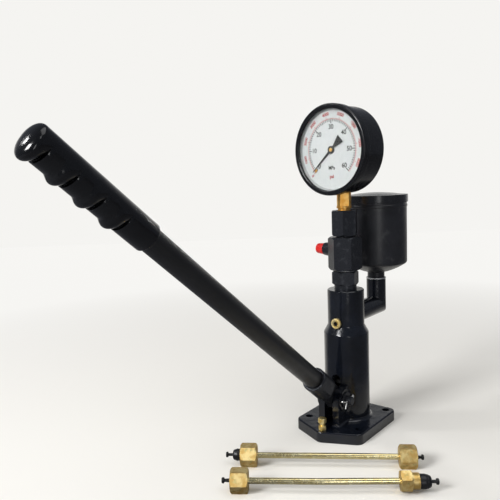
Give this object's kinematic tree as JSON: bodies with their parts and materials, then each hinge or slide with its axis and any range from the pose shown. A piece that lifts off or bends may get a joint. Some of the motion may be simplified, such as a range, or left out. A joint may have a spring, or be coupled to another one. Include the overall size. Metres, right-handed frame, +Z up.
{
  "type": "diesel injector tester",
  "caption": "Hand pump tester for diesel injectors: black column on a bolted flange, long lever with finger grip, round pressure gauge, fuel tank with lid, capped outlet and loose test pipes",
  "frame": {"origin": "centre of the column on the underside of the flange", "axes": "+Z up along the column, -Y towards the lever and the gauge's face, +Y towards the tank, +X along the lever's pin"},
  "size_m": [0.202, 0.5126, 0.3732],
  "materials": {
    "black_paint": "glossy black enamel on iron",
    "satin_black_paint": "satin black powder coat on sheet steel",
    "black_case": "semi-gloss black enamel on pressed steel",
    "satin_black_steel": "black oxide on turned and milled steel",
    "grey_tube": "matte dark grey coating on steel tube",
    "grip_plastic": "glossy soft black vinyl",
    "bright_steel": "bright zinc plate",
    "ground_steel": "hardened and ground steel",
    "spring_steel": "oiled spring wire",
    "yellow_zinc": "yellow passivated zinc plate on steel",
    "copper": "plain soft copper",
    "brass": "turned brass",
    "red_plastic": "moulded red polyethylene",
    "black_rubber": "moulded black rubber",
    "clear_glass": "clear flat glass",
    "white_dial": "satin white enamel on aluminium sheet, printed scale",
    "black_pointer": "matte black paint on aluminium",
    "pipe_steel": "phosphated steel pipe"
  },
  "bodies": {
    "base": {"body_casting": "black_paint", "stop_screw": "yellow_zinc", "stop_screw_nut": "yellow_zinc", "pivot_pin": "satin_black_steel", "pivot_washer": "satin_black_steel", "split_pin": "bright_steel", "plunger_barrel": "ground_steel", "delivery_valve_seat": "ground_steel", "valve_holder": "satin_black_steel", "block_washer": "bright_steel", "valve_block": "satin_black_steel", "outlet_nipple": "satin_black_steel", "gauge_seal": "copper", "gauge_nut": "satin_black_steel", "gauge_stem": "brass", "bourdon_tube": "brass", "movement_frame": "brass", "gauge_case": "black_case", "bezel": "black_case", "gauge_glass": "clear_glass", "dial": "white_dial", "zero_stop": "brass", "tank_shell": "satin_black_paint", "tank_strainer": "brass", "tank_washer": "bright_steel", "elbow": "satin_black_steel", "bleed_plug": "yellow_zinc", "bleed_plug_washer": "black_rubber"},
    "lever": {"lever_head": "satin_black_steel", "lever_tube": "grey_tube", "lever_grip": "grip_plastic"},
    "plunger_group": {"plunger": "ground_steel", "spring_seat": "ground_steel", "return_spring": "spring_steel"},
    "valve_group": {"delivery_valve": "ground_steel", "delivery_valve_spring": "spring_steel"},
    "sector_group": {"movement_sector": "brass"},
    "pointer_group": {"pointer": "black_pointer"},
    "lid_group": {"tank_lid": "satin_black_paint"},
    "cap_group": {"outlet_cap": "red_plastic"},
    "pipe_a": {"pipe_a_tube": "pipe_steel", "pipe_a_nuts": "yellow_zinc"},
    "pipe_a_cap_left": {"pipe_a_left_cap": "black_rubber"},
    "pipe_a_cap_right": {"pipe_a_right_cap": "black_rubber"},
    "pipe_b": {"pipe_b_tube": "pipe_steel", "pipe_b_nut": "yellow_zinc", "pipe_b_union": "yellow_zinc"},
    "pipe_b_cap_nut": {"pipe_b_nut_cap": "black_rubber"},
    "pipe_b_cap_union": {"pipe_b_union_cap": "black_rubber"}
  },
  "joints": [
    {"name": "lever_hinge", "type": "hinge", "parent": "base", "child": "lever", "pos_m": [0, -0.0292, 0.0409], "axis": [1, 0, 0], "range_deg": [0, 41.13], "stiffness_Nm_per_rad": 5, "springref_deg": -36.1},
    {"name": "plunger_slide", "type": "slide", "parent": "base", "child": "plunger_group", "axis": [0, 0, 1], "range_m": [0, 0.0232], "deforming": ["return_spring"]},
    {"name": "valve_lift", "type": "slide", "parent": "base", "child": "valve_group", "axis": [0, 0, 1], "range_m": [0, 0.002], "stiffness_N_per_m": 2000, "springref_m": -0.003, "deforming": ["delivery_valve_spring"]},
    {"name": "sector_hinge", "type": "hinge", "parent": "base", "child": "sector_group", "pos_m": [0, 0, 0.3027], "axis": [0.1616, 0.9869, 0], "range_deg": [-30, 0], "stiffness_Nm_per_rad": 0.002, "springref_deg": 28.65},
    {"name": "pointer_hinge", "type": "hinge", "parent": "base", "child": "pointer_group", "pos_m": [0, 0, 0.3227], "axis": [0.1616, 0.9869, 0], "range_deg": [0, 268]},
    {"name": "lid_lift", "type": "slide", "parent": "base", "child": "lid_group", "axis": [0, 0, 1], "range_m": [0, 0.05]},
    {"name": "outlet_cap_pull", "type": "slide", "parent": "base", "child": "cap_group", "axis": [-0.9869, 0.1616, 0], "range_m": [0, 0.03]},
    {"name": "pipe_a_lift", "type": "slide", "parent": "base", "child": "pipe_a", "axis": [0, 0, 1], "range_m": [0, 0.05]},
    {"name": "pipe_a_left_cap_pull", "type": "slide", "parent": "pipe_a", "child": "pipe_a_cap_left", "axis": [-0.8368, -0.5476, 0], "range_m": [0, 0.02]},
    {"name": "pipe_a_right_cap_pull", "type": "slide", "parent": "pipe_a", "child": "pipe_a_cap_right", "axis": [0.8368, 0.5476, 0], "range_m": [0, 0.02]},
    {"name": "pipe_b_lift", "type": "slide", "parent": "base", "child": "pipe_b", "axis": [0, 0, 1], "range_m": [0, 0.05]},
    {"name": "pipe_b_nut_cap_pull", "type": "slide", "parent": "pipe_b", "child": "pipe_b_cap_nut", "axis": [-0.8221, -0.5693, 0], "range_m": [0, 0.02]},
    {"name": "pipe_b_union_cap_pull", "type": "slide", "parent": "pipe_b", "child": "pipe_b_cap_union", "axis": [0.8221, 0.5693, 0], "range_m": [0, 0.02]}
  ],
  "couplings": [
    {"joint": "plunger_slide", "follows": "lever_hinge", "m_per_rad": 0.03229},
    {"joint": "pointer_hinge", "follows": "sector_hinge", "ratio": -8.925}
  ]
}
